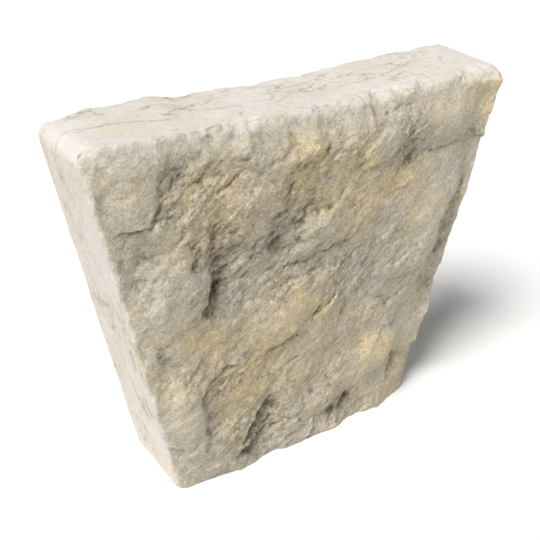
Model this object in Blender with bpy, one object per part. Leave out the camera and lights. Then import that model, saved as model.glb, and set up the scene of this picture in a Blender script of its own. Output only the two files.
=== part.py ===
"""Rock-faced stone keystone: one wedge, split at the front and flat on its bed, foot and joints."""
import math

import bmesh
import bpy
import numpy as np
from mathutils import Vector, noise

# Driving sizes in metres. +Z is up, the split face looks along -Y, the foot stands on Z = 0.
TOP_WIDTH = 0.330       # across the head, from joint face to joint face
FOOT_WIDTH = 0.220      # across the foot
HEIGHT = 0.268          # foot to the front edge of the head
BED_DEPTH = 0.062       # back bed to the plane through the front corners
ROCK_RISE = 0.012       # how far the swells of the split face stand out of that plane
STONE_COLOUR = (0.50, 0.45, 0.36, 1.0)
STONE_ROUGHNESS = 0.93

# Climb of the head above HEIGHT in metres, at shares of the half width, along the front and the back.
HEAD_FRONT = ((-1.0, 0.0005), (-0.92, 0.0025), (-0.7, 0.0015), (-0.5, -0.0005), (0.1, 0.0005), (0.5, 0.003),
              (1.0, 0.006))
HEAD_BACK = ((-1.0, -0.0015), (-0.9, 0.0015), (-0.8, 0.004), (-0.55, 0.0045), (-0.45, 0.002), (0.1, 0.0015),
             (0.5, 0.005), (0.88, 0.0078), (1.0, 0.008))

# Worn arrises: the two faces that meet, and the radius they are rounded to, in metres. The radius is
# a table along the arris: over u for the head's arrises, over v for those of the joint faces.
ARRISES = (
    ("left", "front", ((0, 0.0035), (1, 0.0035))),
    ("right", "front", ((0, 0.002), (0.88, 0.0025), (1, 0.0045))),
    ("head", "front", ((-1, 0.003), (-0.6, 0.003), (-0.4, 0.0045), (0.2, 0.0055), (1, 0.007))),
    ("head", "left", ((-1, 0.0085), (1, 0.0085))),
    ("head", "right", ((-1, 0.0045), (1, 0.0045))),
    ("head", "back", ((-1, 0.004), (1, 0.004))),
)

# Rows that the block is cut into before the split face is shaped, and the extra rows by the arrises.
COLUMNS = 56
COURSES = 46
RIM_SHARES = (0.010, 0.990)
DEPTH_SHARES = (0.05, 0.12, 0.35, 0.65, 0.86, 0.95)

# Character of the split. Sizes are shares of the height, rises are shares of ROCK_RISE.
BOSS_RISE = 0.60        # rounded swelling of the whole face
LEFT_SHOULDER = 4       # power by which the swelling falls to the left edge
RIGHT_SHOULDER = 12     # the same to the right edge, where it stays full much longer
LUMP = 0.19             # broad swells
LUMP_RISE = 0.16
FACET = 0.080           # flakes between the ledges
FACET_RISE = 0.08
WANDER = 0.013          # how far a ledge strays from its line
WANDER_LENGTH = 0.16    # length of one stray
SOFTEST = 0.026         # narrowest slope that the rows can follow
LEDGE_TAIL = 0.06       # length over which a ledge fades out at its ends

# Forms lean to the left and upwards by these shares of the rise they stand on.
LEAN = (0.72, -0.74)

# Domes left standing and hollows knocked out: centre (u, v), half length, half breadth, slant in
# degrees, rise. u runs -1 to 1 from joint to joint, v runs 0 to 1 from foot to head, lengths are
# shares of HEIGHT and rises are shares of ROCK_RISE.
DOMES = {
    "corner slab": (-0.88, 0.90, 0.16, 0.13, 60, 0.35),
    "left shoulder": (-0.76, 0.63, 0.20, 0.14, 80, 0.50),
    "middle shoulder": (-0.33, 0.76, 0.13, 0.10, 70, 0.45),
    "arch cap": (-0.04, 0.94, 0.15, 0.06, 8, 0.30),
    "centre facet": (0.03, 0.66, 0.14, 0.06, 10, 0.25),
    "centre swell": (-0.04, 0.47, 0.17, 0.09, 15, 0.35),
    "left slab": (-0.84, 0.24, 0.18, 0.10, 85, 0.40),
    "left foot": (-0.62, 0.06, 0.16, 0.11, 30, 0.35),
    "right field": (0.66, 0.62, 0.22, 0.13, 80, 0.15),
    "right brow": (0.84, 0.58, 0.20, 0.075, 78, 0.36),
    "head brow": (0.32, 0.885, 0.36, 0.060, 0, 0.40),
    "left brow": (-0.34, 0.930, 0.12, 0.045, 0, 0.30),
    "low dome": (0.64, 0.20, 0.10, 0.06, 20, 0.35),
    "foot swell": (0.08, 0.06, 0.13, 0.11, 0, 0.35),
    "right shoulder": (0.80, 0.90, 0.16, 0.09, -10, 0.16),
    "under corner": (-0.855, 0.69, 0.090, 0.060, 62, -0.75),
    "right arch": (0.33, 0.80, 0.09, 0.06, 60, 0.22),
    "low margin": (-0.90, 0.36, 0.12, 0.040, 85, -0.30),
    "low hollow": (0.09, 0.17, 0.07, 0.05, 30, -0.25),
    "mid hollow": (0.37, 0.25, 0.08, 0.05, 30, -0.22),
    "long pocket": (-0.57, 0.57, 0.06, 0.034, 62, -0.55),
    "low pocket": (-0.37, 0.115, 0.05, 0.026, 50, -0.50),
}

# Ledges of the split: line (u, v), drop as a share of ROCK_RISE, then reach and softness as
# shares of HEIGHT. The ground is lower on the right of the line as it is walked.
LEDGES = {
    "corner slab": (((-0.80, 0.795), (-0.745, 0.85), (-0.72, 0.90), (-0.68, 0.96)), 0.26, 0.07, 0.032),
    "left margin": (((-0.98, 0.66), (-0.975, 0.76), (-0.90, 0.775), (-0.78, 0.80)), 0.42, 0.07, 0.050),
    "long scarp": (((-0.61, 0.50), (-0.585, 0.57), (-0.545, 0.62), (-0.56, 0.69), (-0.545, 0.75),
                    (-0.53, 0.80)), 0.56, 0.09, 0.036),
    "middle shoulder": (((-0.30, 0.63), (-0.24, 0.68), (-0.19, 0.75), (-0.13, 0.85)), 0.34, 0.07, 0.036),
    "arch": (((-0.185, 0.80), (-0.14, 0.865), (-0.04, 0.89), (0.07, 0.90), (0.15, 0.92)),
             0.20, 0.05, 0.028),
    "low arch": (((-0.27, 0.625), (-0.22, 0.665), (-0.14, 0.70), (-0.06, 0.735), (0.02, 0.77)),
                 0.16, 0.05, 0.028),
    "right hollow": (((0.57, 0.73), (0.51, 0.79), (0.48, 0.84), (0.50, 0.91)), 0.26, 0.07, 0.040),
    "low scarp": (((-0.54, 0.01), (-0.44, 0.05), (-0.37, 0.10), (-0.34, 0.16), (-0.29, 0.195),
                   (-0.14, 0.21)), 0.62, 0.08, 0.026),
    "left slab": (((-0.74, 0.08), (-0.72, 0.20), (-0.70, 0.34)), 0.24, 0.09, 0.026),
    "foot groove": (((0.29, -0.04), (0.33, 0.03), (0.40, 0.10)), 0.34, 0.08, 0.026),
    "right groove": (((0.79, 0.04), (0.80, 0.13), (0.84, 0.21)), 0.16, 0.05, 0.028),
    "low right": (((0.70, 0.10), (0.74, 0.20), (0.75, 0.30), (0.74, 0.41)), 0.26, 0.40, 0.090),
    "right crest": (((0.80, 0.36), (0.855, 0.43), (0.885, 0.50), (0.875, 0.57), (0.885, 0.62), (0.92, 0.67),
                     (0.96, 0.73), (1.04, 0.82), (1.12, 0.88)), 0.50, 0.50, 0.050),
}

# Spalls struck off along the edges, shallow scoops that open over the edge: centre (u, v), direction
# of the fall in degrees, level at the centre as a share of ROCK_RISE, then the slope of the fall and
# the bow across it, both in shares of ROCK_RISE per share of HEIGHT.
SPALLS = {
    "right low": (1.00, 0.19, -12, 0.10, 6.0, 40),
    "foot left": (-0.86, -0.01, -80, 0.36, 3.5, 30),
    "corner": (-1.00, 1.0, 128, -0.40, 9, 30),
    "head 1": (-0.45, 1.0, 84, -0.60, 13, 100),
    "head 2": (-0.20, 1.0, 93, -0.44, 10, 45),
    "head 3": (0.10, 1.0, 86, -0.38, 10.5, 45),
    "head 4": (0.33, 1.0, 95, -0.35, 12, 45),
    "head 5": (0.56, 1.0, 84, -0.25, 11, 40),
    "head 6": (0.80, 1.0, 92, -0.05, 10, 45),
}

# Shares of the depth over which the sides follow the split where it stands out and where it is cut in.
SWELL_FADE = 0.25
SPALL_FADE = 0.60

# How far each edge of the split face stands out, along the edge, in shares of ROCK_RISE.
EDGE_RISE = {
    "left": ((0, 0.20), (0.10, 0.05), (1, 0.0)),
    "foot": ((-1, 0.15), (-0.95, 0.41), (-0.80, 0.43), (-0.70, 0.97), (-0.62, 0.92), (-0.43, 0.74),
             (-0.35, 0.50), (-0.22, 0.47), (-0.17, 0.65), (-0.01, 0.61), (0.05, 0.80), (0.26, 0.92),
             (0.41, 0.47), (0.57, 0.50), (0.68, 0.70), (0.79, 0.43), (0.89, 0.24), (1, 0.03)),
    "right": ((0, 0.03), (0.09, -0.06), (0.21, 0.16), (0.28, 0.47), (0.38, 0.12), (0.44, 0.33),
              (0.48, 0.20), (0.53, 0.38), (0.61, 0.46), (0.79, 0.46), (0.84, 0.39), (0.88, 0.58),
              (0.93, 0.60), (0.96, 0.80), (1, 0.80)),
    "head": ((-1, 0.0), (0.55, 0.10), (0.85, 0.40), (1, 0.80)),
}

# How far in from each edge its own height is felt, as a share of the half width or of the height.
EDGE_REACH = {"left": 0.16, "right": 0.09, "foot": 0.09, "head": 0.07}


def half_width(v):
    """Half the width at a share v of the height."""
    return (FOOT_WIDTH + (TOP_WIDTH - FOOT_WIDTH) * v) / 2


def place(u, v):
    """Point of the front plane, in metres, at shares u and v."""
    return u * half_width(v), v * HEIGHT


def ease(t):
    """Smooth step from 0 to 1."""
    t = np.clip(t, 0.0, 1.0)
    return t * t * (3.0 - 2.0 * t)


def along_table(table, position):
    """Value of a table of (position, value) pairs, straight between them."""
    positions, values = zip(*table)
    return np.interp(position, positions, values)


def lumps(x, z, share, seed, octaves=3):
    """Fractal noise of about -1 to 1 whose lumps measure a share of the height."""
    size = share * HEIGHT
    values = [noise.fractal(Vector((px / size, seed, pz / size)), 0.9, 2.1, octaves)
              for px, pz in zip(x.ravel(), z.ravel())]
    return np.array(values).reshape(x.shape)


def boss(u, v):
    """Rounded swelling of the whole face inside its margins."""
    power = np.where(u > 0.0, RIGHT_SHOULDER, LEFT_SHOULDER)
    return BOSS_RISE * (1.0 - np.abs(u) ** power) * (1.0 - 0.75 * np.abs(2.0 * v - 1.0) ** 4)


def dome(x, z, u0, v0, half_length, half_breadth, slant, rise):
    """One low dome on a slanting ellipse, or a hollow where the rise is negative."""
    x0, z0 = place(u0, v0)
    turn = math.radians(slant)
    along = ((x - x0) * math.cos(turn) + (z - z0) * math.sin(turn)) / (half_length * HEIGHT)
    across = ((z - z0) * math.cos(turn) - (x - x0) * math.sin(turn)) / (half_breadth * HEIGHT)
    return rise * ease(1.15 - 0.85 * np.hypot(along, across))


def ledge(x, z, line, drop, reach, softness):
    """A broken edge: the ground falls by drop on the right of the line and climbs back over reach."""
    points = [place(u, v) for u, v in line]
    nearest = np.full(x.shape, 1.0e9)
    side = np.zeros(x.shape)
    walked = np.zeros(x.shape)
    length = 0.0
    for (ax, az), (bx, bz) in zip(points[:-1], points[1:]):
        dx, dz = bx - ax, bz - az
        run = math.hypot(dx, dz)
        share = np.clip(((x - ax) * dx + (z - az) * dz) / run ** 2, 0.0, 1.0)
        gap_x, gap_z = x - ax - share * dx, z - az - share * dz
        gap = np.hypot(gap_x, gap_z)
        closer = gap < nearest - 1.0e-9
        nearest = np.where(closer, gap, nearest)
        side = np.where(closer, np.sign(dz * gap_x - dx * gap_z), side)
        walked = np.where(closer, length + share * run, walked)
        length += run
    distance = nearest * side
    tail = min(LEDGE_TAIL * HEIGHT, length / 3.0)
    strength = ease(walked / tail) * ease((length - walked) / tail)
    low_side = ease(distance / (max(softness, SOFTEST) * HEIGHT) + 0.5)
    return -drop * low_side * np.exp(-(np.maximum(distance, 0.0) / (reach * HEIGHT)) ** 1.3) * strength


def spall(x, z, u0, v0, fall, level, slope, bow):
    """A shallow scoop that opens along the direction of its fall."""
    x0, z0 = place(u0, v0)
    turn = math.radians(fall)
    along = ((x - x0) * math.cos(turn) + (z - z0) * math.sin(turn)) / HEIGHT
    across = ((z - z0) * math.cos(turn) - (x - x0) * math.sin(turn)) / HEIGHT
    return level - slope * along + bow * across ** 2


def meet_edges(u, v, rise):
    """Draw the ground near each edge of the face to that edge's own height."""
    distances = {"left": 1.0 + u, "right": 1.0 - u, "foot": v, "head": 1.0 - v}
    total = np.zeros(u.shape)
    share = np.full(u.shape, 1.0e-9)
    inside = np.ones(u.shape)
    for edge, distance in distances.items():
        near = ease(1.0 - distance / EDGE_REACH[edge])
        position = u if edge in ("foot", "head") else v
        total += near * along_table(EDGE_RISE[edge], position)
        share += near
        inside *= 1.0 - near
    return rise * inside + total / share * (1.0 - inside)


def rock_face(u, v):
    """How far the split face stands out of the front plane, in metres."""
    x, z = place(u, v)
    rise = boss(u, v) + LUMP_RISE * lumps(x, z, LUMP, 1.7)
    stray = WANDER * HEIGHT
    wx = x + stray * lumps(x, z, WANDER_LENGTH, 3.1) + LEAN[0] * rise * ROCK_RISE
    wz = z + stray * lumps(x, z, WANDER_LENGTH, 9.3) + LEAN[1] * rise * ROCK_RISE
    for form in DOMES.values():
        rise = rise + dome(wx, wz, *form)
    for line, drop, reach, softness in LEDGES.values():
        rise = rise + ledge(wx, wz, line, drop, reach, softness)
    rise = meet_edges(u, v, rise + FACET_RISE * lumps(wx, wz, FACET, 4.4))
    for form in SPALLS.values():
        rise = np.minimum(rise, spall(wx, wz, *form))
    return rise * ROCK_RISE


def head_rise(u, depth_share):
    """How far the head lies above HEIGHT; depth_share is 0 at the front and 1 at the back."""
    front = along_table(HEAD_FRONT, u)
    back = along_table(HEAD_BACK, u)
    return front + (back - front) * ease(depth_share)


def wear(gap_a, gap_b, radius):
    """How far two faces draw in where they meet in an arris rounded to radius."""
    p = np.clip(1.0 - gap_a / radius, 0.0, 1.0)
    q = np.clip(1.0 - gap_b / radius, 0.0, 1.0)
    return radius * p * (1.0 - np.sqrt(1.0 - q * q / 2.0)), radius * q * (1.0 - np.sqrt(1.0 - p * p / 2.0))


def cut_shares(count):
    """Shares of a side at which it is cut into count even parts, with the extra rows by its ends."""
    return sorted([step / count for step in range(1, count)] + list(RIM_SHARES))


def cut_block():
    """A unit block cut into columns, courses and layers, finer towards the front."""
    mesh = bmesh.new()
    bmesh.ops.create_cube(mesh, size=1.0)
    cuts = [(0, share) for share in cut_shares(COLUMNS)]
    cuts += [(2, share) for share in cut_shares(COURSES)]
    cuts += [(1, share) for share in DEPTH_SHARES]
    for axis, share in cuts:
        centre, normal = Vector(), Vector()
        centre[axis] = share - 0.5
        normal[axis] = 1.0
        everything = mesh.verts[:] + mesh.edges[:] + mesh.faces[:]
        bmesh.ops.bisect_plane(mesh, geom=everything, plane_co=centre, plane_no=normal)
    return mesh


def shape_block(mesh):
    """Taper the block, lift its head, break its front and wear its arrises."""
    unit = np.array([vert.co[:] for vert in mesh.verts])
    u = np.clip(unit[:, 0] * 2.0, -1.0, 1.0)
    depth_share = np.clip(unit[:, 1] + 0.5, 0.0, 1.0)
    v = np.clip(unit[:, 2] + 0.5, 0.0, 1.0)
    top = HEIGHT + head_rise(u, depth_share)
    z = v * top
    depth = depth_share * BED_DEPTH
    gaps = {
        "left": (1.0 + u) * half_width(z / HEIGHT),
        "right": (1.0 - u) * half_width(z / HEIGHT),
        "head": top - z,
        "front": depth,
        "back": BED_DEPTH - depth,
    }
    push = {face: np.zeros(len(unit)) for face in gaps}
    for first, second, radii in ARRISES:
        radius = along_table(radii, u if first == "head" else v)
        first_push, second_push = wear(gaps[first], gaps[second], radius)
        push[first] += first_push
        push[second] += second_push
    z = z - push["head"]
    x = u * half_width(z / HEIGHT) + push["left"] - push["right"]
    rock = rock_face(u, v)
    fade = np.where(rock > 0.0, SWELL_FADE, SPALL_FADE)
    rock = rock * np.clip(1.0 - depth_share / fade, 0.0, 1.0) ** 2
    y = depth - BED_DEPTH / 2 - rock + push["front"] - push["back"]
    for vert, corner in zip(mesh.verts, zip(x, y, z)):
        vert.co = corner


def stone_material():
    """Matt, pale grey-beige limestone."""
    stone = bpy.data.materials.new("split limestone")
    stone.use_nodes = True
    shader = stone.node_tree.nodes["Principled BSDF"]
    shader.inputs["Base Color"].default_value = STONE_COLOUR
    shader.inputs["Roughness"].default_value = STONE_ROUGHNESS
    shader.inputs["Metallic"].default_value = 0.0
    return stone


def main():
    for thing in list(bpy.data.objects):
        bpy.data.objects.remove(thing, do_unlink=True)
    mesh = cut_block()
    shape_block(mesh)
    bmesh.ops.dissolve_limit(mesh, angle_limit=math.radians(0.02), verts=mesh.verts[:], edges=mesh.edges[:])
    bmesh.ops.triangulate(mesh, faces=mesh.faces[:])
    bmesh.ops.recalc_face_normals(mesh, faces=mesh.faces[:])
    print("triangles", len(mesh.faces))
    data = bpy.data.meshes.new("keystone")
    mesh.to_mesh(data)
    mesh.free()
    data.materials.append(stone_material())
    stone = bpy.data.objects.new("keystone", data)
    group = bpy.data.collections.new("Keystone")
    bpy.context.scene.collection.children.link(group)
    group.objects.link(stone)


main()
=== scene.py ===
import math

import bpy
import numpy as np
from mathutils import Matrix, Vector, noise


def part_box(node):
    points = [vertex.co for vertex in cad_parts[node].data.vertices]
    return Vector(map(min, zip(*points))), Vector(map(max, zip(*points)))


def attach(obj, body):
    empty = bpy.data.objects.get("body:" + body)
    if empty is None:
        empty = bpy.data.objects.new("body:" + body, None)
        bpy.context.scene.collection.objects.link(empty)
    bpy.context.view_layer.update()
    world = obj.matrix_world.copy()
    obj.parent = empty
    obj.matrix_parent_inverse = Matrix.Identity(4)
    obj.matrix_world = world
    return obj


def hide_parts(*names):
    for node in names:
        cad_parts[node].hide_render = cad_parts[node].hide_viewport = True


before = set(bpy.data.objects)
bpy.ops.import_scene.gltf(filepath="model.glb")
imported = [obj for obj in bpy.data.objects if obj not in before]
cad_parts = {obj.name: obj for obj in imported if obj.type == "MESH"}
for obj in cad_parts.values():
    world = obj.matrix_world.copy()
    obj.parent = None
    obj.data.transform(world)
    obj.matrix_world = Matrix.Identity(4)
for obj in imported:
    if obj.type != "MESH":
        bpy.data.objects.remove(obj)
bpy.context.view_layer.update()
print("frame loaded")

# the block in metres: the split face looks along -Y, the foot stands on Z = 0
stoneLow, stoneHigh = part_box("keystone")
block = {
    "headWidth": 0.330,
    "footShare": 2 / 3,            # foot width over head width
    "height": 0.268,               # foot to the front edge of the head
    "bed": stoneHigh[1],           # back bed, and the front corners as far in front of the origin
    "rockRise": 0.012,             # how far the split face stands out
    "frontMost": -stoneLow[1] - stoneHigh[1] - 0.0003,   # the split stands out no further than this
    "columns": 292,                # cells across the split face, about 1.1 mm each
    "courses": 237,                # cells up the split face
    "layers": 26,                  # rows of cells from the split face back to the bed
    "backRings": (0.985, 0.96),    # the back shrinks by these shares in turn, so its worn edge ends in a flat
    "rowCrowding": 0.9,            # how much closer those rows lie near the two arrises, 0 to 1
}
# climb of the head above the height in metres, along its front and its back, by u
headFront = ((-1, 0.0005), (-0.92, 0.0025), (-0.7, 0.0015), (-0.5, -0.0005), (0.1, 0.0005), (0.5, 0.003),
             (1, 0.0060))
headBack = ((-1, -0.0015), (-0.9, 0.0015), (-0.8, 0.004), (-0.55, 0.0045), (-0.45, 0.002), (0.1, 0.0015),
            (0.5, 0.005), (0.88, 0.0078), (1, 0.008))

# swells and hollows of the split: centre u, v, half length, half breadth, slant in degrees, rise
# u runs -1 to 1 from joint to joint, v 0 to 1 from foot to head
# lengths are shares of the height and rises are shares of rockRise, here and in the tables below
domes = {
    "cornerSlab": (-0.88, 0.90, 0.16, 0.13, 60, 0.35),
    "leftShoulder": (-0.76, 0.63, 0.20, 0.14, 80, 0.50),
    "middleShoulder": (-0.33, 0.76, 0.13, 0.10, 70, 0.45),
    "archCap": (-0.04, 0.94, 0.15, 0.06, 8, 0.30),
    "centreFacet": (0.03, 0.66, 0.14, 0.06, 10, 0.25),
    "centreSwell": (-0.04, 0.47, 0.17, 0.09, 15, 0.35),
    "leftSlab": (-0.84, 0.24, 0.18, 0.10, 85, 0.40),
    "leftFoot": (-0.62, 0.06, 0.16, 0.11, 30, 0.35),
    "rightField": (0.66, 0.62, 0.22, 0.13, 80, 0.15),
    "rightBrow": (0.84, 0.58, 0.20, 0.075, 78, 0.36),
    "headBrow": (0.32, 0.885, 0.36, 0.060, 0, 0.40),
    "leftBrow": (-0.34, 0.930, 0.12, 0.045, 0, 0.30),
    "underCorner": (-0.855, 0.69, 0.090, 0.060, 62, -0.75),
    "lowDome": (0.64, 0.20, 0.10, 0.06, 20, 0.35),
    "footSwell": (0.08, 0.06, 0.13, 0.11, 0, 0.35),
    "rightShoulder": (0.80, 0.90, 0.16, 0.09, -10, 0.16),
    "rightArch": (0.33, 0.80, 0.09, 0.06, 60, 0.22),
    "lowMargin": (-0.90, 0.36, 0.12, 0.040, 85, -0.30),
    "lowHollow": (0.09, 0.17, 0.07, 0.05, 30, -0.25),
    "midHollow": (0.37, 0.25, 0.08, 0.05, 30, -0.22),
    "longPocket": (-0.545, 0.575, 0.060, 0.024, 66, -0.75),
    "longPocketHead": (-0.545, 0.64, 0.05, 0.022, 85, -0.14),
    "cornerPocket": (-0.765, 0.815, 0.035, 0.014, 55, -0.18),
    "archPocket": (0.04, 0.900, 0.022, 0.012, 40, -0.30),
    "lowArchPocket": (-0.22, 0.680, 0.030, 0.012, 40, -0.14),
    "lowPocket": (-0.370, 0.115, 0.050, 0.014, 50, -0.75),
    "footPocket": (-0.460, 0.035, 0.040, 0.014, 15, -0.65),
    "grooveLeft": (0.28, 0.03, 0.035, 0.018, 70, -0.45),
    "grooveRight": (0.40, 0.06, 0.045, 0.018, 60, -0.50),
    "rightStreak": (0.82, 0.13, 0.060, 0.022, 80, -0.15),
}

# ledges of the split: line in u, v, then drop, reach and softness
# the ground is lower on the right of the line as it is walked
ledges = {
    "cornerSlabFoot": (((-1.02, 0.800), (-0.84, 0.797), (-0.76, 0.800)), 0.36, 0.020, 0.007),
    "cornerSlab": (((-0.80, 0.795), (-0.745, 0.85), (-0.72, 0.90), (-0.68, 0.96)), 0.26, 0.07, 0.032),
    "leftMargin": (((-0.98, 0.66), (-0.975, 0.76), (-0.90, 0.775), (-0.78, 0.80)), 0.42, 0.07, 0.050),
    "longScarp": (((-0.61, 0.50), (-0.585, 0.57), (-0.545, 0.62), (-0.56, 0.69), (-0.545, 0.75),
                   (-0.53, 0.80)), 0.47, 0.09, 0.036),
    "scarpStep": (((-0.67, 0.64), (-0.645, 0.71), (-0.66, 0.78)), 0.20, 0.04, 0.016),
    "scarpFlake": (((-0.51, 0.62), (-0.46, 0.65), (-0.41, 0.68)), 0.08, 0.035, 0.012),
    "middleShoulder": (((-0.30, 0.63), (-0.24, 0.68), (-0.19, 0.75), (-0.13, 0.85)), 0.34, 0.07, 0.036),
    "shoulderFoot": (((-0.38, 0.635), (-0.33, 0.665), (-0.29, 0.72)), 0.15, 0.03, 0.012),
    "arch": (((-0.185, 0.80), (-0.14, 0.865), (-0.04, 0.89), (0.07, 0.90), (0.15, 0.92)),
             0.20, 0.05, 0.028),
    "archStep": (((-0.15, 0.84), (-0.08, 0.865), (0.01, 0.875)), 0.10, 0.02, 0.010),
    "lowArch": (((-0.27, 0.625), (-0.22, 0.665), (-0.14, 0.70), (-0.06, 0.735), (0.02, 0.77)),
                0.16, 0.05, 0.028),
    "middleCrack": (((-0.31, 0.60), (-0.05, 0.605), (0.29, 0.615)), 0.13, 0.012, 0.006),
    "bench": (((-0.54, 0.915), (-0.42, 0.93), (-0.28, 0.925)), 0.26, 0.04, 0.020),
    "shoulderCrack": (((-0.53, 0.84), (-0.44, 0.865), (-0.35, 0.89)), 0.18, 0.014, 0.007),
    "rightHollow": (((0.57, 0.73), (0.51, 0.79), (0.48, 0.84), (0.50, 0.91)), 0.26, 0.07, 0.040),
    "rightBed": (((0.60, 0.805), (0.72, 0.812), (0.86, 0.80), (0.95, 0.803)), 0.10, 0.012, 0.006),
    "headBed": (((0.28, 0.94), (0.40, 0.945), (0.52, 0.948)), 0.15, 0.012, 0.006),
    "headDrop": (((0.296, 0.90), (0.275, 0.95), (0.254, 1.01)), 0.15, 0.016, 0.007),
    "lowScarp": (((-0.54, 0.01), (-0.44, 0.05), (-0.37, 0.10), (-0.34, 0.16), (-0.29, 0.195),
                  (-0.14, 0.21)), 0.62, 0.08, 0.010),
    "leftSlab": (((-0.74, 0.08), (-0.72, 0.20), (-0.70, 0.34)), 0.24, 0.09, 0.026),
    "pit": (((-0.905, 0.40), (-0.905, 0.49)), 0.24, 0.03, 0.012),
    "middleLedge": (((-0.34, 0.355), (-0.18, 0.36), (0.0, 0.39)), 0.20, 0.04, 0.014),
    "shortCrack": (((0.02, 0.375), (0.045, 0.42), (0.10, 0.475)), 0.16, 0.02, 0.009),
    "shortCrackRight": (((0.215, 0.375), (0.255, 0.44)), 0.14, 0.02, 0.009),
    "footGroove": (((0.29, -0.04), (0.33, 0.03), (0.40, 0.10)), 0.34, 0.08, 0.018),
    "rightGroove": (((0.79, 0.04), (0.80, 0.13), (0.84, 0.21)), 0.16, 0.05, 0.020),
    "lowRight": (((0.70, 0.10), (0.74, 0.20), (0.75, 0.30), (0.74, 0.41)), 0.26, 0.40, 0.090),
    "lowBench": (((0.50, 0.25), (0.62, 0.275), (0.80, 0.285)), 0.08, 0.04, 0.014),
    "faintBench": (((0.56, 0.435), (0.70, 0.44), (0.84, 0.445)), 0.12, 0.03, 0.012),
    "rightCrest": (((0.80, 0.36), (0.855, 0.43), (0.885, 0.50), (0.88, 0.57), (0.90, 0.62), (0.945, 0.67),
                    (1.00, 0.73), (1.08, 0.82), (1.15, 0.88)), 0.50, 0.50, 0.050),
    "rightCrestLip": (((0.80, 0.37), (0.855, 0.44), (0.885, 0.51), (0.88, 0.58), (0.90, 0.62), (0.945, 0.67),
                       (1.00, 0.73)), 0.12, 0.04, 0.009),
}

# spalls struck off along the edges: centre u, v, direction of the fall in degrees, level at the centre,
# slope and bow across the fall; levels are shares of rockRise, slope and bow are per share of the height
spalls = {
    "rightLow": (1.00, 0.19, -12, 0.10, 6.0, 40),
    "footLeft": (-0.86, -0.01, -80, 0.36, 3.5, 30),
    "corner": (-1.00, 1.0, 128, -0.40, 9, 30),
    "head1": (-0.45, 1.0, 84, -0.60, 13, 100),
    "head2": (-0.20, 1.0, 93, -0.44, 10, 45),
    "head3": (0.10, 1.0, 86, -0.38, 10.5, 45),
    "head4": (0.33, 1.0, 95, -0.35, 12, 45),
    "head5": (0.56, 1.0, 84, -0.25, 11, 40),
    "head6": (0.80, 1.0, 92, -0.05, 10, 45),
}

# how far each edge of the face stands out, along the edge, in shares of rockRise
edgeRise = {
    "left": ((0, 0.20), (0.10, 0.05), (1, 0.0)),
    "foot": ((-1, 0.15), (-0.95, 0.41), (-0.80, 0.43), (-0.70, 0.97), (-0.62, 0.92), (-0.43, 0.74),
             (-0.35, 0.50), (-0.22, 0.47), (-0.17, 0.65), (-0.01, 0.61), (0.05, 0.80), (0.26, 0.92),
             (0.41, 0.47), (0.57, 0.50), (0.68, 0.70), (0.79, 0.43), (0.89, 0.24), (1, 0.03)),
    "right": ((0, 0.03), (0.09, -0.06), (0.21, 0.16), (0.28, 0.47), (0.38, 0.12), (0.44, 0.33),
              (0.48, 0.20), (0.53, 0.38), (0.61, 0.46), (0.79, 0.46), (0.84, 0.39), (0.88, 0.58),
              (0.93, 0.60), (0.96, 0.80), (1, 0.80)),
    "head": ((-1, 0.0), (0.55, 0.10), (0.85, 0.40), (1, 0.80)),
}
edgeReach = {"left": 0.16, "right": 0.09, "foot": 0.09, "head": 0.07}
# forms lean to the left and upwards by these shares of the rise they stand on
lean = (0.72, -0.74)


def halfWidth(v):
    return (block["footShare"] + (1 - block["footShare"]) * v) * block["headWidth"] / 2


def place(u, v):
    return u * halfWidth(v), v * block["height"]


def ease(t):
    t = np.clip(t, 0.0, 1.0)
    return t * t * (3 - 2 * t)


octaveFade, octaveStep = 0.9, 2.1       # how fast a noise's octaves weaken, and how much finer each is


# fractal noise of about -1 to 1 whose lumps measure size metres, drawn out along a slant
# here and in flakes the seed picks the slice, so each use has a number of its own
def lumps(x, z, size, seed, octaves=3, stretch=1.0, slant=0.0):
    turn = math.radians(slant)
    p = (x * math.cos(turn) + z * math.sin(turn)) / (size * stretch)
    q = (z * math.cos(turn) - x * math.sin(turn)) / size
    values = [noise.fractal(Vector((a, seed, b)), octaveFade, octaveStep, octaves)
              for a, b in zip(p.ravel(), q.ravel())]
    return np.array(values).reshape(x.shape)


# broken flakes: each cell is a small tilted plane, and neighbours meet in a crease or a step
def flakes(x, z, size, seed, stretch=1.0, slant=0.0, seam=0.18):
    turn = math.radians(slant)
    p = (x * math.cos(turn) + z * math.sin(turn)) / (size * stretch)
    q = (z * math.cos(turn) - x * math.sin(turn)) / size
    heights = []
    for a, b in zip(p.ravel(), q.ravel()):
        gaps, cells = noise.voronoi(Vector((a, seed, b)))
        planes = []
        for cell in cells[:2]:
            tilt = noise.cell_vector(cell * 57.0)      # the factor only tells neighbouring cells apart
            slope = (tilt.x - 0.5) * (a - cell.x) + (tilt.z - 0.5) * (b - cell.z)
            planes.append(slope + 0.5 * (tilt.y - 0.5))
        share = min((gaps[1] - gaps[0]) / seam, 1.0)
        share = 0.5 + 0.5 * share * (2 - share)
        heights.append(planes[0] * share + planes[1] * (1 - share))
    return 2.0 * np.array(heights).reshape(x.shape)


# rounded swelling of the whole face: the higher a squareness, the nearer it stays full to that margin
swelling = {"rise": 0.60, "leftSquareness": 4, "rightSquareness": 12, "endSquareness": 4, "endDrop": 0.75}


def boss(u, v):
    sides = 1 - np.abs(u) ** np.where(u > 0, swelling["rightSquareness"], swelling["leftSquareness"])
    ends = 1 - swelling["endDrop"] * np.abs(2 * v - 1) ** swelling["endSquareness"]
    return swelling["rise"] * sides * ends


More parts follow.
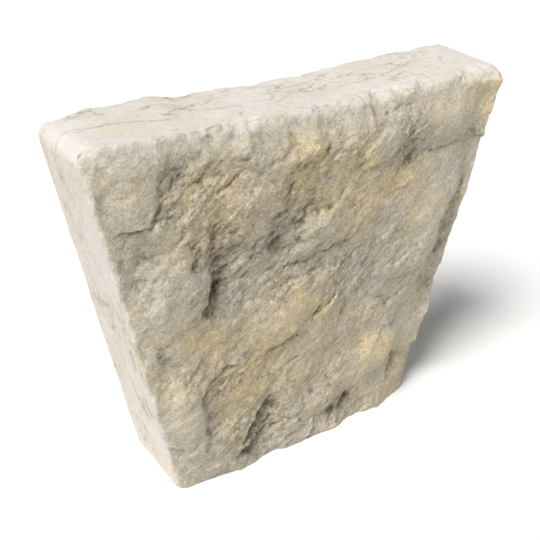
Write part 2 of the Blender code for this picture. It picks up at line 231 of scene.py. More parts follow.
# draws the ground near each edge to that edge's own height
def meetEdges(u, v, rise):
    distances = {"left": 1 + u, "right": 1 - u, "foot": v, "head": 1 - v}
    total, share = np.zeros(u.shape), np.full(u.shape, 1e-9)
    inside = np.ones(u.shape)
    for edge, distance in distances.items():
        near = ease(1 - distance / edgeReach[edge])
        along = u if edge in ("foot", "head") else v
        total += near * np.interp(along, *zip(*edgeRise[edge]))
        share += near
        inside *= 1 - near
    return rise * inside + total / share * (1 - inside)


domeTop, domeFall = 1.15, 0.85      # its profile at the centre, level above 1, and the fall from there


# an oval swell, or a hollow where the rise is negative, with a small level top
def dome(x, z, u0, v0, halfLength, halfBreadth, slant, rise):
    x0, z0 = place(u0, v0)
    turn = math.radians(slant)
    along = ((x - x0) * math.cos(turn) + (z - z0) * math.sin(turn)) / (halfLength * block["height"])
    across = ((z - z0) * math.cos(turn) - (x - x0) * math.sin(turn)) / (halfBreadth * block["height"])
    return rise * ease(domeTop - domeFall * np.hypot(along, across))


# a ledge dies out over its ends: by this share of the height, or of its own length if it is short
ledgeTail, shortLedgeTail = 0.06, 0.35
ledgeClimb = 1.3        # how sharply the low ground climbs back


# a broken edge: the ground falls by drop on the right of the line and climbs back over reach
def ledge(x, z, line, drop, reach, softness):
    points = [place(u, v) for u, v in line]
    nearest = np.full(x.shape, 1.0e9)
    side = np.zeros(x.shape)
    walked = np.zeros(x.shape)
    length = 0.0
    for (ax, az), (bx, bz) in zip(points[:-1], points[1:]):
        dx, dz = bx - ax, bz - az
        run = math.hypot(dx, dz)
        share = np.clip(((x - ax) * dx + (z - az) * dz) / run ** 2, 0.0, 1.0)
        gapX, gapZ = x - ax - share * dx, z - az - share * dz
        gap = np.hypot(gapX, gapZ)
        closer = gap < nearest - 1.0e-9
        nearest = np.where(closer, gap, nearest)
        side = np.where(closer, np.sign(dz * gapX - dx * gapZ), side)
        walked = np.where(closer, length + share * run, walked)
        length += run
    distance = nearest * side
    tail = min(ledgeTail * block["height"], shortLedgeTail * length)
    strength = ease(walked / tail) * ease((length - walked) / tail)
    lowSide = ease(distance / (softness * block["height"]) + 0.5)
    climb = np.exp(-(np.maximum(distance, 0) / (reach * block["height"])) ** ledgeClimb)
    return -drop * lowSide * climb * strength


# a shallow scoop that opens along the direction of its fall
def spall(x, z, u0, v0, fall, level, slope, bow):
    x0, z0 = place(u0, v0)
    turn = math.radians(fall)
    along = ((x - x0) * math.cos(turn) + (z - z0) * math.sin(turn)) / block["height"]
    across = ((z - z0) * math.cos(turn) - (x - x0) * math.sin(turn)) / block["height"]
    return level - slope * along + bow * across ** 2


# where the break is coarse and where it is smooth: centre u, v, half length, half breadth, slant, share
roughZones = {
    "besideCornerSlab": (-0.60, 0.84, 0.11, 0.08, 70, 0.45),
    "longScarp": (-0.55, 0.66, 0.16, 0.07, 85, 0.7),
    "arches": (-0.08, 0.76, 0.22, 0.16, 40, 0.25),
    "middle": (0.10, 0.55, 0.24, 0.12, 0, 0.35),
    "underLeftSlab": (-0.50, 0.31, 0.14, 0.07, 0, 0.6),
    "lowScarp": (-0.34, 0.12, 0.12, 0.10, 40, 0.5),
    "footGroove": (0.33, 0.06, 0.08, 0.08, 60, 0.5),
    "rightHollow": (0.52, 0.83, 0.10, 0.07, 70, 0.6),
}
smoothZones = {
    "cornerSlab": (-0.87, 0.90, 0.12, 0.10, 60, 0.6),
    "leftShoulder": (-0.88, 0.58, 0.20, 0.10, 85, 0.3),
    "leftSlab": (-0.85, 0.27, 0.16, 0.09, 85, 0.4),
    "centreSwell": (-0.14, 0.46, 0.10, 0.06, 10, 0.6),
    "rightField": (0.78, 0.68, 0.20, 0.14, 80, 0.6),
    "lowRight": (0.70, 0.22, 0.20, 0.12, 10, 0.5),
    "underHead": (0.18, 0.965, 0.46, 0.060, 0, 0.75),
    "rightShoulder": (0.78, 0.92, 0.16, 0.08, 0, 0.8),
}


# how the split breaks up: sizes and distances in metres, amounts as shares of rockRise
breakUp = {
    "plainCoarseness": 0.50,                # away from the zones above
    "swell": 0.16, "swellSize": 0.19,       # broad unevenness, its size a share of the height
    "wander": 0.013, "wanderSize": 0.16,    # how far the forms stray, and over what, as shares of the height
    "ragged": 0.0022, "raggedSize": 0.009,  # how far their lines fray
    "unevenBroad": 0.35, "unevenBroadSize": 0.014, "unevenFine": 0.5, "unevenFineSize": 0.0042,
    "softLedge": 0.05,                      # a ledge at least this soft falls evenly and isn't coarse
    # at the left joint and under the head this share of the coarseness is left, and it grows over a reach
    "calmLeft": 0.25, "calmLeftReach": 0.10, "calmHead": 0.35, "calmHeadReach": 0.08,
    "leastCoarse": 0.10, "mostCoarse": 1.15,
    "flakeStray": 0.0034, "flakeStraySize": 0.011,      # how far the flakes' outlines stray, and over what
    "crumbs": 0.006, "coarseCrumbs": 0.050, "crumbSize": 0.0038,
    "frontEase": 0.002,                     # this near to frontMost the rise is eased off
}
# flakes: rise, rise added where it is coarse, size in metres, seed, stretch, slant in degrees, seam
flakeLayers = (
    (0.13, 0.04, 0.024, 2.2, 1.5, 32, 0.12),
    (0.012, 0.052, 0.0095, 6.1, 2.0, 34, 0.10),
    (0.004, 0.040, 0.0045, 3.9, 2.0, 34, 0.10),
)


def coarseness(x, z):
    share = breakUp["plainCoarseness"] + 0 * x
    for zone in roughZones.values():
        share = share + dome(x, z, *zone)
    for zone in smoothZones.values():
        share = share * (1 - dome(x, z, *zone))
    return share


# how far the split face stands out of the front plane, in metres, and how coarse its break is
def rockFace(u, v):
    x, z = place(u, v)
    height = block["height"]
    strayed, strayedOver = breakUp["wander"] * height, breakUp["wanderSize"] * height
    ragged, raggedOver = breakUp["ragged"], breakUp["raggedSize"]
    rise = boss(u, v) + breakUp["swell"] * lumps(x, z, breakUp["swellSize"] * height, 1.7)
    wx = x + strayed * lumps(x, z, strayedOver, 3.1) + ragged * lumps(x, z, raggedOver, 6.6, 4)
    wz = z + strayed * lumps(x, z, strayedOver, 9.3) + ragged * lumps(x, z, raggedOver, 2.6, 4)
    wx += lean[0] * rise * block["rockRise"]
    wz += lean[1] * rise * block["rockRise"]
    for form in domes.values():
        rise = rise + dome(wx, wz, *form)
    uneven = 1 + breakUp["unevenBroad"] * lumps(x, z, breakUp["unevenBroadSize"], 11.9, 3)
    uneven = uneven + breakUp["unevenFine"] * lumps(x, z, breakUp["unevenFineSize"], 13.9, 3, 2.8, 40)
    fallen = np.zeros(x.shape)
    for line, drop, reach, softness in ledges.values():
        fall = -ledge(wx, wz, line, drop, reach, softness)
        if softness < breakUp["softLedge"]:
            fall = fall * uneven
            fallen += fall
        rise = rise - fall
    rise = meetEdges(u, v, rise)
    for form in spalls.values():
        rise = np.minimum(rise, spall(wx, wz, *form))
    calmLeft = breakUp["calmLeft"] + (1 - breakUp["calmLeft"]) * ease((1 + u) / breakUp["calmLeftReach"])
    calmHead = breakUp["calmHead"] + (1 - breakUp["calmHead"]) * ease((1 - v) / breakUp["calmHeadReach"])
    coarse = (coarseness(wx, wz) + fallen) * (calmLeft * calmHead)
    coarse = np.clip(coarse, breakUp["leastCoarse"], breakUp["mostCoarse"])
    fx = x + breakUp["flakeStray"] * lumps(x, z, breakUp["flakeStraySize"], 5.5, 4)
    fz = z + breakUp["flakeStray"] * lumps(x, z, breakUp["flakeStraySize"], 8.5, 4)
    fine = np.zeros(x.shape)
    for amount, coarseAmount, *made in flakeLayers:
        fine += (amount + coarseAmount * coarse) * flakes(fx, fz, *made)
    crumbs = breakUp["crumbs"] + breakUp["coarseCrumbs"] * coarse
    fine += crumbs * lumps(x, z, breakUp["crumbSize"], 4.8, 4, 2.2, 36)
    rise = (rise + fine) * block["rockRise"]
    room, eased = block["frontMost"] - rise, breakUp["frontEase"]
    return block["frontMost"] - np.where(room < eased, eased * np.exp(room / eased - 1), room), coarse


def headRise(u, depthShare):
    front, back = np.interp(u, *zip(*headFront)), np.interp(u, *zip(*headBack))
    return front + (back - front) * ease(depthShare)


# rounds the arris between two faces, from the distances a and b to them, by one radius
def wear(a, b, radius):
    p = np.clip(1 - a / radius, 0, 1)
    q = np.clip(1 - b / radius, 0, 1)
    return radius * p * (1 - np.sqrt(1 - q * q / 2)), radius * q * (1 - np.sqrt(1 - p * p / 2))


# worn arrises, in metres: radius, how much knocks vary it, and how it changes along u or v
arrises = {
    "leftFront": (0.0035, 0.75, ((0, 0.8), (0.5, 1), (0.9, 1), (1, 0.8))),
    "headFront": (0.0090, 0.75, ((-1, 0.35), (-0.6, 0.35), (-0.4, 0.5), (0.2, 0.6), (1, 0.8))),
    "rightFront": (0.0020, 0.3, ((0, 1), (0.88, 1.2), (0.95, 1.8), (1, 2.2))),
    "footFront": (0.0012, 0.8, ((-1, 1), (1, 1))),
    "headLeft": (0.0100, 0.2, ((0, 1), (1, 1))),
    "headRight": (0.0050, 0.2, ((0, 1), (1, 1))),
    "headBack": (0.0040, 0.9, ((-1, 1), (1, 1))),
    "leftBack": (0.0018, 0.6, ((0, 1), (1, 1))),
    "rightBack": (0.0025, 0.6, ((0, 1), (1, 1))),
    "footBack": (0.0012, 0.5, ((-1, 1), (1, 1))),
    "footLeft": (0.0012, 0.5, ((-1, 1), (1, 1))),
    "footRight": (0.0012, 0.5, ((-1, 1), (1, 1))),
}


# the cells start as a grid for the split face, whose rim is drawn back to the bed in rows and closed there
def gridStone():
    columns, courses = block["columns"], block["courses"]
    bpy.ops.object.select_all(action="DESELECT")
    bpy.ops.mesh.primitive_grid_add(x_subdivisions=columns, y_subdivisions=courses, size=1.0)
    stone = bpy.context.active_object
    stone.name = "keystoneBody"
    stone.data.name = "keystoneBody"
    bpy.ops.object.mode_set(mode="EDIT")
    bpy.ops.mesh.select_all(action="SELECT")
    bpy.ops.transform.rotate(value=math.radians(-90), orient_axis="X", center_override=(0, 0, 0))
    bpy.ops.mesh.select_all(action="DESELECT")
    bpy.ops.mesh.select_mode(type="EDGE")
    bpy.ops.mesh.select_non_manifold(extend=False)
    for layer in range(block["layers"]):
        bpy.ops.mesh.extrude_region_move(TRANSFORM_OT_translate={"value": (0, 1, 0)})
    bpy.ops.mesh.edge_face_add()
    for share in block["backRings"]:
        bpy.ops.mesh.extrude_region_move()
        bpy.ops.transform.resize(value=(share, 1, share), center_override=(0, 0, 0))
    bpy.ops.mesh.select_all(action="SELECT")
    bpy.ops.mesh.normals_make_consistent(inside=False)
    bpy.ops.object.mode_set(mode="OBJECT")
    return stone


# the cut faces are not dead flat: broad hollows, shallow breaks and fine grain, always inwards
# broad, broken and fine are each a size in metres and a share of the amount
cutSkin = {"level": 1.2, "broad": (0.026, 0.7), "broken": (0.011, 0.7), "fine": (0.0045, 0.35),
           "least": 0.3, "most": 2.5}
# cut faces: seed, amount in metres, stretch, slant in degrees
cutFaces = {"left": (12.5, 0.0006, 2.5, 85), "right": (18.5, 0.0006, 2.0, 95), "head": (24.5, 0.0008, 2.4, 8)}


def skin(p, q, seed, amount, stretch, slant):
    sizes = {name: cutSkin[name][0] for name in ("broad", "broken", "fine")}
    depth = cutSkin["level"] + cutSkin["broad"][1] * lumps(p, q, sizes["broad"], seed, 3, stretch, slant)
    depth = depth + cutSkin["broken"][1] * flakes(p, q, sizes["broken"], seed + 3, 1.8, slant, 0.10)
    depth = depth + cutSkin["fine"][1] * lumps(p, q, sizes["fine"], seed + 5, 3, 1.5, slant)
    return amount * np.clip(depth, cutSkin["least"], cutSkin["most"])


# knocks along the arrises: size in metres, how fast the octaves weaken, octaves, strength, limits
knock = {"size": 0.020, "fade": 0.7, "octaves": 4, "strength": 1.6, "least": 0.35, "most": 2.2}
# how far back the front arris follows the split, as shares of the depth, where it stands out or is cut in
splitDepth = {"out": 0.25, "in": 0.60}
# the pale, cut look: how deep it takes over behind the front, and its rim on the split face
paleRim = {"behind": 0.002, "share": 0.7, "width": 0.0035, "headNear": 0.3, "rightNear": 3}


def shapeStone(stone):
    mesh = stone.data
    count = len(mesh.vertices)
    unit = np.empty(count * 3)
    mesh.vertices.foreach_get("co", unit)
    unit = unit.reshape(-1, 3)
    u = np.clip(unit[:, 0] * 2, -1, 1)
    v = np.clip(unit[:, 2] + 0.5, 0, 1)
    run = np.round(unit[:, 1]) / block["layers"]
    depthShare = run - block["rowCrowding"] * np.sin(2 * math.pi * run) / (2 * math.pi)
    # the split is worked out on its own grid, and each cell looks up its place there
    columns, courses = block["columns"], block["courses"]
    gridU, gridV = np.meshgrid(np.linspace(-1, 1, columns + 1), np.linspace(0, 1, courses + 1))
    rock, coarse = rockFace(gridU, gridV)
    i = np.round((u + 1) / 2 * columns).astype(int)
    j = np.round(v * courses).astype(int)
    depth = depthShare * 2 * block["bed"]
    top = block["height"] + headRise(u, depthShare)
    z = v * top
    reach = halfWidth(z / block["height"])
    rockHere = rock[j, i]
    fadeDepth = np.where(rockHere > 0, splitDepth["out"], splitDepth["in"])
    rockHere = rockHere * np.clip(1 - depthShare / fadeDepth, 0, 1) ** 2
    # distances to the six faces, and how far wear pushes each face in
    gaps = {"left": (1 + u) * reach, "right": (1 - u) * reach, "head": top - z, "foot": z,
            "front": depth, "back": 2 * block["bed"] - depth}
    push = {face: np.zeros(count) for face in gaps}
    xr, yr, zr = u * reach, depth, z
    knocks = np.array([
        noise.fractal(Vector((a, b, c)) / knock["size"], knock["fade"], octaveStep, knock["octaves"])
        for a, b, c in zip(xr, yr, zr)])
    for name, (radius, spread, profile) in arrises.items():
        cut = [k for k, letter in enumerate(name) if letter.isupper()][0]
        first, second = name[:cut], name[cut:].lower()
        along = np.interp(v if first in ("left", "right") else u, *zip(*profile))
        knocked = np.clip(1 + spread * knock["strength"] * knocks, knock["least"], knock["most"])
        fromFirst, fromSecond = wear(gaps[first], gaps[second], radius * along * knocked)
        push[first] += fromFirst
        push[second] += fromSecond
    z = z - push["head"] + push["foot"]
    x = u * halfWidth(z / block["height"]) + push["left"] - push["right"]
    y = depth - block["bed"] - rockHere + push["front"] - push["back"]
    rim = depthShare > 0
    left, right, head = rim & (u == -1), rim & (u == 1), rim & (v == 1)
    x[left] += skin(yr[left], zr[left], *cutFaces["left"])
    x[right] -= skin(yr[right], zr[right], *cutFaces["right"])
    z[head] -= skin(xr[head], yr[head], *cutFaces["head"])
    corners = np.clip(np.stack([x, y, z], axis=1), stoneLow, stoneHigh)
    mesh.vertices.foreach_set("co", corners.ravel())
    mesh.update()
    # what the material reads
    onSplit = np.clip(1 - depth / paleRim["behind"], 0, 1)
    gridValues = {"hollow": hollows(rock), "coarse": coarse, "stain": stainStrength(gridU, gridV)}
    for name, values in gridValues.items():
        layer = mesh.attributes.new(name, "FLOAT", "POINT")
        layer.data.foreach_set("value", values[j, i] * onSplit)
    cutFace = mesh.attributes.new("cutFace", "FLOAT", "POINT")
    rimGap = np.minimum(np.minimum(gaps["left"], gaps["head"] * paleRim["headNear"]),
                        gaps["right"] * paleRim["rightNear"])
    paleShare = paleRim["share"] * ease(1 - rimGap / paleRim["width"])
    cutFace.data.foreach_set("value", np.maximum(1 - onSplit, paleShare))


# surroundings that a point is compared with: reach in metres and weight
hollowReaches = ((0.0017, 2.4), (0.0050, 0.8))
fullHollow = 0.0030         # metres below them that count as 1


# how far each point of the face lies below its surroundings, -1 to 1; the material paints shade into the
# hollows by it
def hollows(rock):
    cell = block["headWidth"] / block["columns"]
    depthHere = np.zeros(rock.shape)
    for size, weight in hollowReaches:
        reach = int(3 * size / cell)        # in cells; a bell curve is spent at three times its size
        bell = np.exp(-0.5 * (np.arange(-reach, reach + 1) * cell / size) ** 2)
        bell /= bell.sum()
        padded = np.pad(rock, reach, mode="reflect", reflect_type="odd")
        rows = np.apply_along_axis(lambda line: np.convolve(line, bell, "valid"), 1, padded)
        around = np.apply_along_axis(lambda line: np.convolve(line, bell, "valid"), 0, rows)
        depthHere += weight * (around - rock) / fullHollow
    return np.clip(depthHere, -1, 1)


# ochre stains of the split face: centre u, v, radius, strength; a radius is a share of the height
stains = (
    (-0.62, 0.87, 0.06, 0.8), (-0.53, 0.86, 0.065, 1.0), (-0.42, 0.85, 0.05, 0.5), (-0.68, 0.74, 0.06, 0.6),
    (-0.45, 0.76, 0.06, 0.8), (-0.13, 0.880, 0.06, 0.8), (-0.01, 0.890, 0.05, 0.7), (-0.04, 0.84, 0.07, 1.0),
    (0.18, 0.85, 0.06, 0.8), (0.30, 0.80, 0.07, 0.7), (0.45, 0.77, 0.06, 0.7), (0.59, 0.765, 0.05, 0.9),
    (0.63, 0.66, 0.05, 0.4), (0.58, 0.61, 0.04, 0.6), (0.25, 0.72, 0.07, 0.7), (0.18, 0.66, 0.06, 0.6),
    (-0.20, 0.53, 0.06, 0.6), (-0.13, 0.46, 0.09, 1.0), (-0.02, 0.45, 0.06, 0.8), (-0.70, 0.50, 0.06, 0.7),
    (-0.63, 0.44, 0.06, 0.9), (-0.35, 0.38, 0.06, 0.7), (-0.50, 0.33, 0.07, 0.9), (-0.32, 0.27, 0.06, 0.8),
    (-0.02, 0.29, 0.07, 0.6), (0.09, 0.25, 0.06, 0.5), (-0.47, 0.24, 0.08, 0.7), (-0.57, 0.15, 0.06, 0.6),
    (0.34, 0.27, 0.05, 0.7), (0.46, 0.27, 0.05, 0.7), (0.58, 0.22, 0.05, 1.1), (0.45, 0.17, 0.05, 0.5),
    (0.80, 0.05, 0.06, 0.6), (0.90, 0.11, 0.05, 0.7), (0.97, 0.88, 0.05, 0.7), (0.95, 0.97, 0.05, 1.0),
    (-0.90, 0.36, 0.05, 0.3), (-0.76, 0.35, 0.06, 0.5), (-0.22, 0.36, 0.05, 0.5), (0.70, 0.18, 0.05, 0.5),
    (-0.23, 0.79, 0.05, 0.6), (0.03, 0.76, 0.05, 0.6), (-0.24, 0.15, 0.05, 0.6), (0.34, 0.36, 0.05, 0.5),
    (-0.49, 0.49, 0.06, 0.6), (-0.81, 0.46, 0.05, 0.4), (-0.63, 0.25, 0.05, 0.5), (0.24, 0.15, 0.05, 0.5),
)
stainStray, stainStraySize = 0.006, 0.022       # how far their outlines stray and over what, in metres
fullStain = 1.2         # stains that overlap add up to no more


def stainStrength(u, v):
    x, z = place(u, v)
    wx = x + stainStray * lumps(x, z, stainStraySize, 14.1)
    wz = z + stainStray * lumps(x, z, stainStraySize, 16.3)
    strength = np.zeros(x.shape)
    for u0, v0, radius, amount in stains:
        x0, z0 = place(u0, v0)
        strength += amount * np.exp(-((wx - x0) ** 2 + (wz - z0) ** 2) / (radius * block["height"]) ** 2)
    return np.clip(strength, 0, fullStain)


def toLinear(code):
    parts = [int(code[k:k + 2], 16) / 255 for k in (1, 3, 5)]
    return tuple(p / 12.92 if p <= 0.04045 else ((p + 0.055) / 1.055) ** 2.4 for p in parts) + (1.0,)


# adds one node with its settings, then its values or links by socket name or number, and gives an output
def addNode(tree, kind, output, settings=(), **sockets):
    node = tree.nodes.new(kind)
    for name, value in dict(settings).items():
        setattr(node, name, value)
    for name, value in sockets.items():
        socket = node.inputs[int(name[1:])] if name[0] == "_" else node.inputs[name]
        if isinstance(value, bpy.types.NodeSocket):
            tree.links.new(value, socket)
        else:
            socket.default_value = value
    return node.outputs[output]


# split limestone: a matt, granular break of lime grains, grey-beige where it weathered, ochre where iron
# seeped through, pale and dusty on the faces cut for the bed, the joints and the head
limestoneLook = {
    "roughness": 0.93, "specular": 0.3,
    "greyBeige": "#D0C7B6", "warmBeige": "#D9CDB5", "palest": "#E1DACB", "ochre": "#ECD5A5",
    # paintedShade: painted shade laid into the hollows, creases and bedding cracks of the stone
    "paintedShade": "#6E6556", "cutPale": "#E8E2DA", "cutWarm": "#E4DBCB", "cutGrey": "#DED9D1",
    # cloudy patterns: size in metres, detail, roughness, distortion
    "clouds": (0.032, 5, 0.6, 0), "blotches": (0.011, 5, 0.65, 0.4), "grain": (0.0013, 3, 0.7, 0),
    "crumbs": (0.0040, 6, 0.75, 0),
    # broken flakes: size in metres, slant in degrees, relief at which their painted shade is full
    "flakes": (0.0048, 32, 0.0010), "chips": (0.0024, 40, 0.0005), "flakeStretch": 2.0,
    # drawn-out creases: size in metres, slant in degrees, stretch
    "strokes": (0.0060, 34, 3.2),
    # bedding runs along the stone at a steady depth, so it shows as long cracks on the head and the joints
    "bedding": (0.090, 0.030, 0.090),
    # strengths of the painted shade in the creases and in the bedding cracks
    "creaseShade": 0.45, "crackShade": 0.4,
    # bumps: depth in metres, strength; the flakes and chips are in metres already, so theirs is a factor
    "bedStep": (0.0012, 0.6), "flakeBump": (0.7, 0.70), "chipBump": (0.9, 0.90), "creaseBump": (0.0009, 0.6),
    "crumbBump": (0.0014, 0.7), "grainBump": (0.0005, 0.7),
    "coarseBump": (0.9, 0.3),       # what coarseness adds to the strength of flakes and chips, and the least
}


def makeLimestone():
    look = limestoneLook
    smooth = {"interpolation_type": "SMOOTHSTEP"}
    product, difference = {"operation": "MULTIPLY"}, {"operation": "SUBTRACT"}
    scaled = {"operation": "SCALE"}
    limestone = bpy.data.materials.new("splitLimestone")
    limestone.use_nodes = True
    tree = limestone.node_tree
    shader = tree.nodes["Principled BSDF"]
    shader.inputs["Roughness"].default_value = look["roughness"]
    shader.inputs["Specular IOR Level"].default_value = look["specular"]
    spot = addNode(tree, "ShaderNodeTexCoord", "Object")
    depthHere = addNode(tree, "ShaderNodeSeparateXYZ", "Y", _0=spot)
    hollow, stain, cut, coarse = [addNode(tree, "ShaderNodeAttribute", "Fac", {"attribute_name": name})
                                  for name in ("hollow", "stain", "cutFace", "coarse")]
    patterns = {}
    for name in ("clouds", "blotches", "grain", "crumbs"):
        across, detail, roughness, distortion = look[name]
        patterns[name] = addNode(tree, "ShaderNodeTexNoise", "Fac", Vector=spot, Scale=1 / across,
                                 Detail=detail, Roughness=roughness, Distortion=distortion)
    clouds, blotches, grain, crumbs = patterns.values()

    # small tilted flakes: the height of each Voronoi cell is a plane with its own slope
    def flakeHeight(across, slant):
        strayed = addNode(tree, "ShaderNodeTexNoise", "Color", Vector=spot, Scale=0.5 / across, Detail=2)
        offset = addNode(tree, "ShaderNodeVectorMath", 0, scaled, _0=strayed, Scale=1.2 * across)
        moved = addNode(tree, "ShaderNodeVectorMath", 0, {"operation": "ADD"}, _0=spot, _1=offset)
        turned = addNode(tree, "ShaderNodeMapping", 0, {"vector_type": "TEXTURE"}, Vector=moved,
                         Rotation=(0, math.radians(-slant), 0), Scale=(look["flakeStretch"], 1, 1))
        cell = addNode(tree, "ShaderNodeTexVoronoi", "Position", Vector=turned, Scale=1 / across)
        gap = addNode(tree, "ShaderNodeVectorMath", 0, difference, _0=turned, _1=cell)
        tilt = addNode(tree, "ShaderNodeVectorMath", 0, difference, _0=cell.node.outputs["Color"],
                       _1=(0.5, 0.5, 0.5))
        return addNode(tree, "ShaderNodeVectorMath", "Value", {"operation": "DOT_PRODUCT"}, _0=gap, _1=tilt)

    flakeRelief, chipRelief = flakeHeight(*look["flakes"][:2]), flakeHeight(*look["chips"][:2])
    flakeReach, chipReach = look["flakes"][2], look["chips"][2]
    across, slant, stretch = look["strokes"]
    strokeSpot = addNode(tree, "ShaderNodeMapping", 0, {"vector_type": "TEXTURE"}, Vector=spot,
                         Rotation=(0, math.radians(-slant), 0), Scale=(stretch, 1, 1))
    strokes = addNode(tree, "ShaderNodeTexNoise", "Fac", Vector=strokeSpot, Scale=1 / across, Detail=5,
                      Roughness=0.62)
    bedSpot = addNode(tree, "ShaderNodeMapping", 0, Vector=spot,
                      Scale=[1 / side for side in look["bedding"]])
    beds = addNode(tree, "ShaderNodeTexNoise", "Fac", Vector=bedSpot, Scale=1, Detail=5, Roughness=0.6)
    # a crease or a crack runs where its pattern passes its middle value
    offStroke, offBed = [addNode(tree, "ShaderNodeMath", 0, difference, _0=pattern, _1=0.5)
                         for pattern in (strokes, beds)]
    nearStroke, nearBed = [addNode(tree, "ShaderNodeMath", 0, {"operation": "ABSOLUTE"}, _0=off)
                           for off in (offStroke, offBed)]

    # fades: what is read, from low to high, and what comes out at each
    fades = {
        "warmth": (clouds, 0.38, 0.62, 0, 1),
        "paleness": (blotches, 0.52, 0.72, 0, 0.6),
        "seep": (blotches, 0.38, 0.60, 0.22, 0.68),
        # painted shade and light: each flake and chip darker on its low side and a little lighter on its high
        # side
        "flakePaintedShade": (flakeRelief, -flakeReach, flakeReach, -0.12, 0.05),
        "chipPaintedShade": (chipRelief, -chipReach, chipReach, -0.12, 0.05),
        "crease": (nearStroke, 0, 0.020, 1, 0),
        "creaseRough": (coarse, 0.1, 0.7, 0, 1),
        "creaseGaps": (blotches, 0.42, 0.56, 1, 0),
        "cutWarmth": (clouds, 0.35, 0.65, 0, 1),
        "cutBlotches": (blotches, 0.50, 0.70, 0, 0.6),
        # painted shade: the deeper a point lies below its surroundings, the darker
        "hollowShade": (hollow, 0.12, 1.0, 0, 0.55),
        "speckle": (grain, 0.35, 0.65, -0.25, 0.09),
        "speckleShare": (cut, 0, 1, 1.0, 0.35),
        "crack": (nearBed, 0, 0.014, 1, 0),
        "crackGaps": (clouds, 0.46, 0.60, 0, 1),
        # the bed at the back lies along the bedding, so it hardly shows the cracks
        "acrossBeds": (depthHere, block["bed"] - 0.0015, block["bed"] - 0.0004, 1, 0.3),
        "bedStep": (offBed, -0.02, 0.02, 0, 1),
        "crumbShare": (cut, 0, 1, 1.0, 0.30),
        "crumbRough": (coarse, 0.1, 0.6, 0.6, 1.0),
        "grainShare": (cut, 0, 1, 1.0, 0.5),
    }
    for name, (value, low, high, atLow, atHigh) in fades.items():
        fades[name] = addNode(tree, "ShaderNodeMapRange", "Result", smooth, _0=value, _1=low, _2=high,
                              _3=atLow, _4=atHigh)

    # shares that are several fades multiplied
    shares = {
        "seep": (stain, fades["seep"]),
        "flakes": (coarse, fades["flakePaintedShade"]),
        "chips": (coarse, fades["chipPaintedShade"]),
        "crease": (fades["crease"], fades["creaseRough"], fades["creaseGaps"]),
        "crack": (fades["crack"], cut, fades["crackGaps"], fades["acrossBeds"], look["crackShade"]),
        "speckle": (fades["speckleShare"], fades["speckle"]),
        "bedStep": (cut, look["bedStep"][1], fades["acrossBeds"]),
        "crumbs": (fades["crumbShare"], look["crumbBump"][1], fades["crumbRough"]),
        "grain": (fades["grainShare"], look["grainBump"][1]),
    }
    added, least = look["coarseBump"]
    broken = addNode(tree, "ShaderNodeMath", 0, {"operation": "MULTIPLY_ADD"}, _0=coarse, _1=added, _2=least)
    shares["flakeBump"] = (broken, look["flakeBump"][1])
    shares["chipBump"] = (broken, look["chipBump"][1])
    for name, (made, *factors) in shares.items():
        for factor in factors:
            made = addNode(tree, "ShaderNodeMath", 0, product, _0=made, _1=factor)
        shares[name] = made
    shares["creaseShade"] = addNode(tree, "ShaderNodeMath", 0, product, _0=shares["crease"],
                                   _1=look["creaseShade"])

    # colours, each laid over the one before by its share
    def layColours(colour, coats):
        for share, tint in coats:
            tint = toLinear(look[tint]) if isinstance(tint, str) else tint
            colour = addNode(tree, "ShaderNodeMix", 2, {"data_type": "RGBA"}, _0=share, _6=colour, _7=tint)
        return colour

    # scales a colour by 1 plus each change: the painted shade and light of the flakes and chips, and the
    # grain's own speckle
    def shade(colour, changes):
        for change in changes:
            share = addNode(tree, "ShaderNodeMath", 0, {"operation": "ADD"}, _0=change, _1=1.0)
            colour = addNode(tree, "ShaderNodeVectorMath", 0, scaled, _0=colour, Scale=share)
        return colour

    broke = layColours(toLinear(look["greyBeige"]), (
        (fades["warmth"], "warmBeige"), (fades["paleness"], "palest"), (shares["seep"], "ochre")))
    # painted shade and light of the flakes and chips
    broke = shade(broke, (shares["flakes"], shares["chips"]))
    # painted shade along the creases
    broke = layColours(broke, ((shares["creaseShade"], "paintedShade"),))
    sawn = layColours(toLinear(look["cutPale"]), (
        (fades["cutWarmth"], "cutWarm"), (fades["cutBlotches"], "cutGrey")))
    # the cut faces' own colours, then painted shade in the hollows of the split
    colour = layColours(broke, ((cut, sawn), (fades["hollowShade"], "paintedShade")))
    colour = shade(colour, (shares["speckle"],))
    # painted shade along the bedding cracks of the cut faces
    colour = layColours(colour, ((shares["crack"], "paintedShade"),))
    tree.links.new(colour, shader.inputs["Base Color"])

    # bumps, coarse to fine: height, depth, strength, sunk
    bumps = (
        (fades["bedStep"], look["bedStep"][0], shares["bedStep"], False),
        (flakeRelief, look["flakeBump"][0], shares["flakeBump"], False),
        (chipRelief, look["chipBump"][0], shares["chipBump"], False),
        (shares["crease"], look["creaseBump"][0], look["creaseBump"][1], True),
        (crumbs, look["crumbBump"][0], shares["crumbs"], False),
        (grain, look["grainBump"][0], shares["grain"], False),
    )
    normal = {}
    for height, deep, strength, sunk in bumps:
        normal["Normal"] = addNode(tree, "ShaderNodeBump", "Normal", {"invert": sunk}, Height=height,
                                   Distance=deep, Strength=strength, **normal)
    tree.links.new(normal["Normal"], shader.inputs["Normal"])
    return limestone


stone = gridStone()
shapeStone(stone)
bpy.ops.object.shade_smooth()
print("stone cut", len(stone.data.polygons))
stone.data.materials.append(makeLimestone())
print("limestone made")
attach(stone, "root")
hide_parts("keystone")

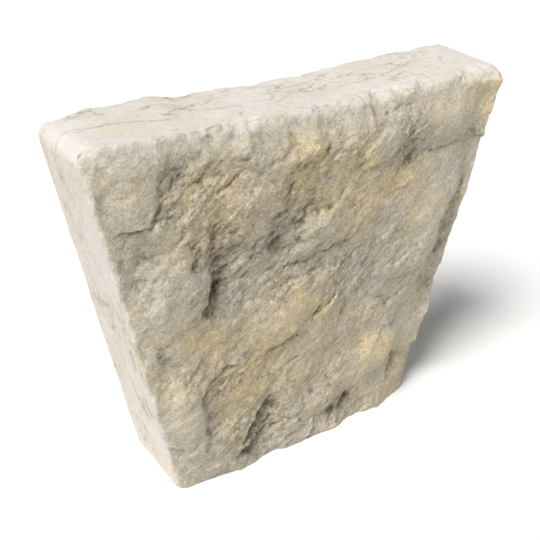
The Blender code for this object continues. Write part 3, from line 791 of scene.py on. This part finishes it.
# camera at the photograph's place, found from the block's corners
view = {"azimuth": -36.42, "elevation": 29.78, "roll": 2.42, "distance": 0.6399, "lens": 54.33,
        "target": (0.01073, 0.031, 0.1164)}
azimuth, elevation, roll = (math.radians(view[k]) for k in ("azimuth", "elevation", "roll"))
back = Vector((math.sin(azimuth) * math.cos(elevation), -math.cos(azimuth) * math.cos(elevation),
               math.sin(elevation)))
bpy.ops.object.camera_add()
camera = bpy.context.active_object
camera.data.lens = view["lens"]
right = (-back).cross(Vector((0, 0, 1))).normalized()
up = right.cross(-back)
rolledRight = math.cos(roll) * right + math.sin(roll) * up
rolledUp = math.cos(roll) * up - math.sin(roll) * right
turn = Matrix((rolledRight, rolledUp, back)).transposed().to_4x4()
camera.matrix_world = Matrix.Translation(Vector(view["target"]) + view["distance"] * back) @ turn
bpy.context.scene.camera = camera

# plain pale floor and soft daylight from the upper left
studio = {"floorSize": 8, "floorColour": "#FBFAF8", "lightFrom": (-0.50, -0.19, 0.845), "lightEnergy": 3.25,
          "lightSpread": 22, "roomLight": 0.2}
bpy.ops.mesh.primitive_plane_add(size=studio["floorSize"])
floor = bpy.context.active_object
floor.name = "studioFloor"
paper = bpy.data.materials.new("whitePaper")
paper.use_nodes = True
paperShader = paper.node_tree.nodes["Principled BSDF"]
paperShader.inputs["Base Color"].default_value = toLinear(studio["floorColour"])
paperShader.inputs["Roughness"].default_value = 1.0
paperShader.inputs["Specular IOR Level"].default_value = 0.0
floor.data.materials.append(paper)

lightFrom = Vector(studio["lightFrom"])
bpy.ops.object.light_add(type="SUN", location=lightFrom * 2)
key = bpy.context.active_object
key.rotation_euler = lightFrom.to_track_quat("Z", "Y").to_euler()
key.data.energy = studio["lightEnergy"]
key.data.angle = math.radians(studio["lightSpread"])
world = bpy.data.worlds.new("softRoom")
bpy.context.scene.world = world
world.use_nodes = True
world.node_tree.nodes["Background"].inputs["Color"].default_value = (1, 1, 1, 1)
world.node_tree.nodes["Background"].inputs["Strength"].default_value = studio["roomLight"]
bpy.context.scene.view_settings.view_transform = "Standard"
print("camera, floor and light placed")
